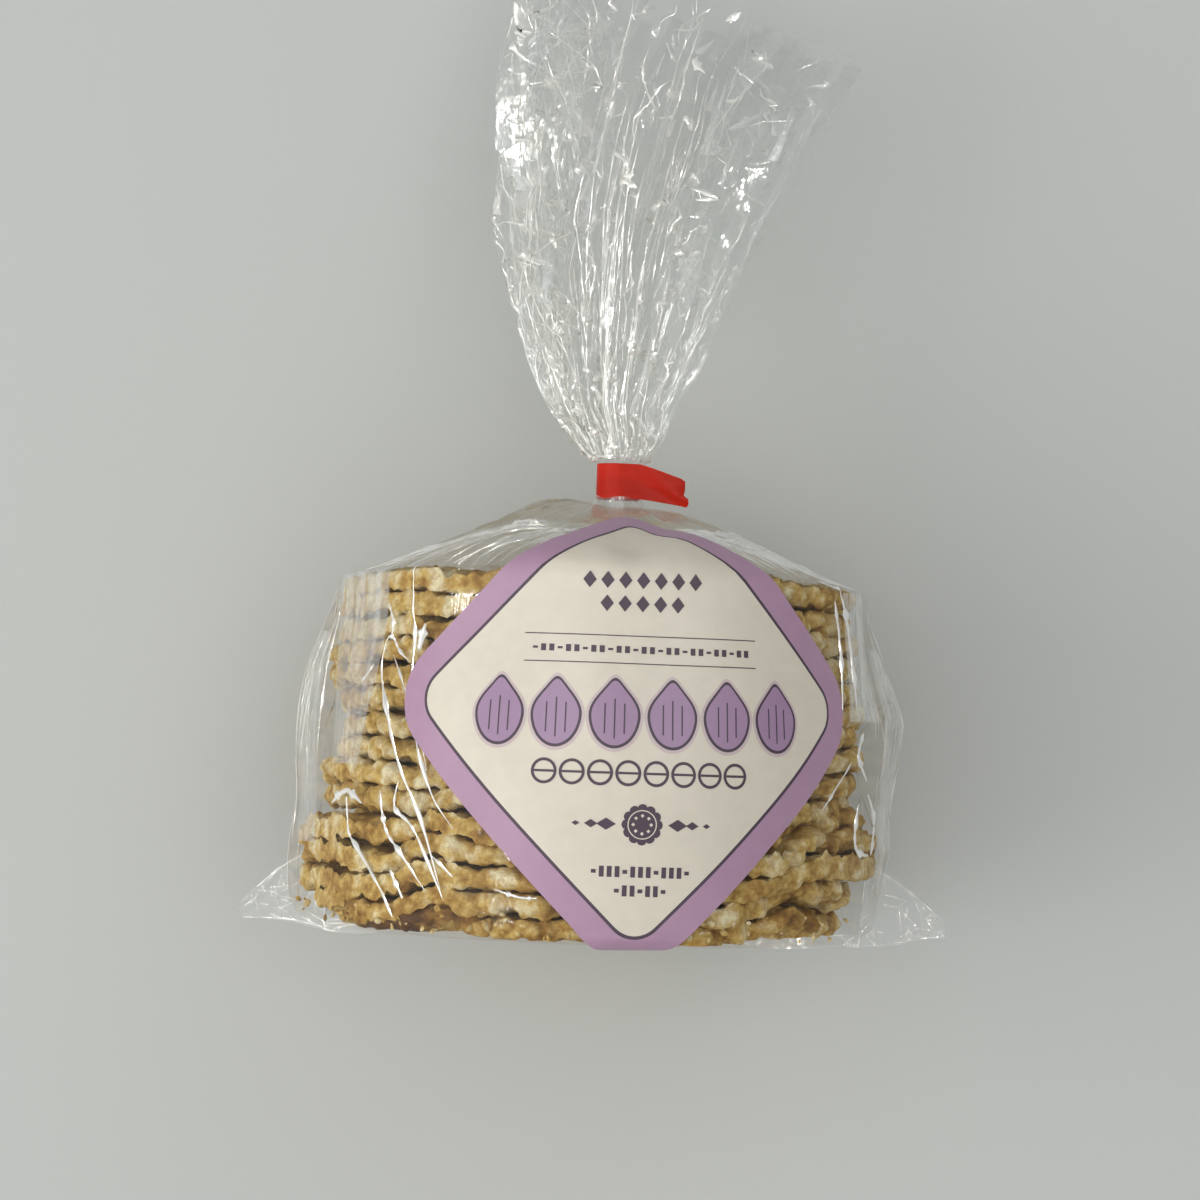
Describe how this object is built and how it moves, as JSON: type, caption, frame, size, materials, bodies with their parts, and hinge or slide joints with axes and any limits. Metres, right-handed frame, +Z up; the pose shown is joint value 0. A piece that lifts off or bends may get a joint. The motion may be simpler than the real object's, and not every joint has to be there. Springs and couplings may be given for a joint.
{
  "type": "bag of pizzelle wafer cookies",
  "caption": "Clear film bag holding a stack of thin round waffle-patterned wafer cookies, tied at the neck with red tape, with a rounded diamond paper label and a ruffled top.",
  "frame": {"origin": "middle of the small flat that the bag lies on, under the middle of the stack", "axes": "+Y from the sealed bottom of the bag towards its tied neck and ruffled mouth, +X to the right of the label, +Z up out of the label"},
  "size_m": [0.1658, 0.2398, 0.1279],
  "materials": {
    "film_and_wafers": "clear crinkled film over pale golden wafers",
    "label_paper": "semi-matt coated paper, lilac border with a cream middle",
    "tie_tape": "satin red tape"
  },
  "bodies": {
    "root": {"bag": "film_and_wafers", "label": "label_paper", "tie_tape": "tie_tape"}
  },
  "joints": []
}
